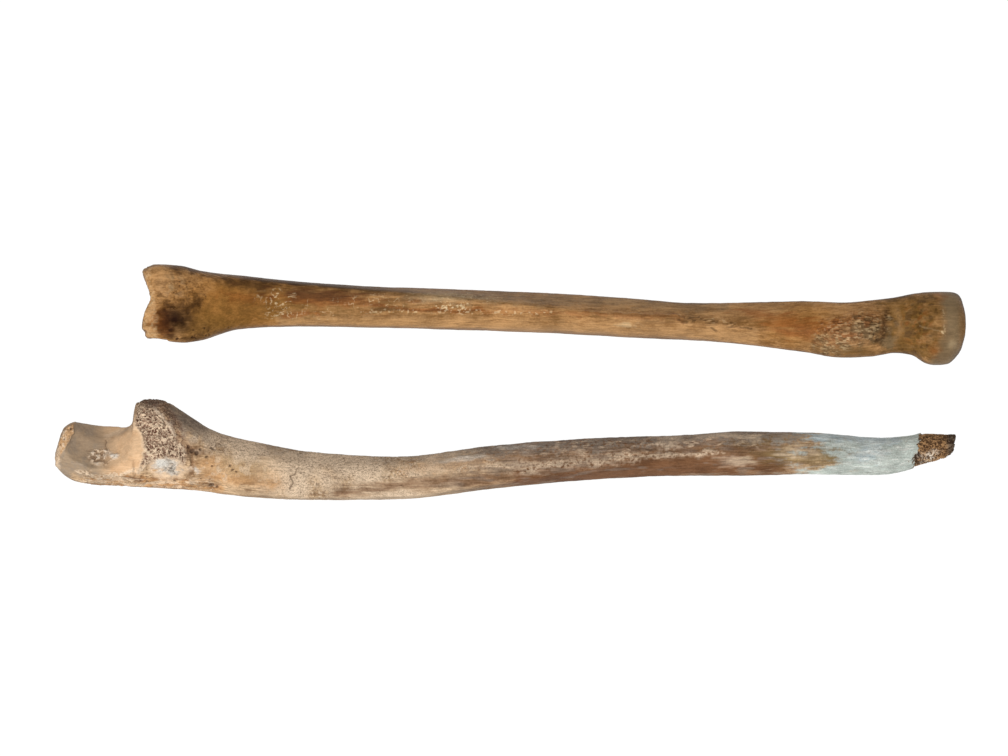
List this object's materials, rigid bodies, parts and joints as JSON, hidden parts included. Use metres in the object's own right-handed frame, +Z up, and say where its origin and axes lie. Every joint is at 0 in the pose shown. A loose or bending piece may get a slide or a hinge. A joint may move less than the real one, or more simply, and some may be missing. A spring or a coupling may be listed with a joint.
{
  "type": "pair of human forearm bones",
  "caption": "Dry human radius and ulna of one forearm, life size, lying side by side as a still museum-style model.",
  "frame": {"origin": "centre of the bounding box at floor level", "axes": "+X along the bones, from the radius's wrist end to its head; +Y across, from the ulna to the radius; +Z up, away from the floor and towards the camera"},
  "size_m": [0.2654, 0.0688, 0.031],
  "materials": {
    "radius_bone": "honey-brown stained dry bone, smooth and slightly greasy, worn at both ends",
    "ulna_bone": "weathered dry bone, tan and grey, matt, with open spongy bone at the worn elbow end"
  },
  "bodies": {
    "root": {"radius": "radius_bone", "ulna": "ulna_bone"}
  },
  "joints": []
}
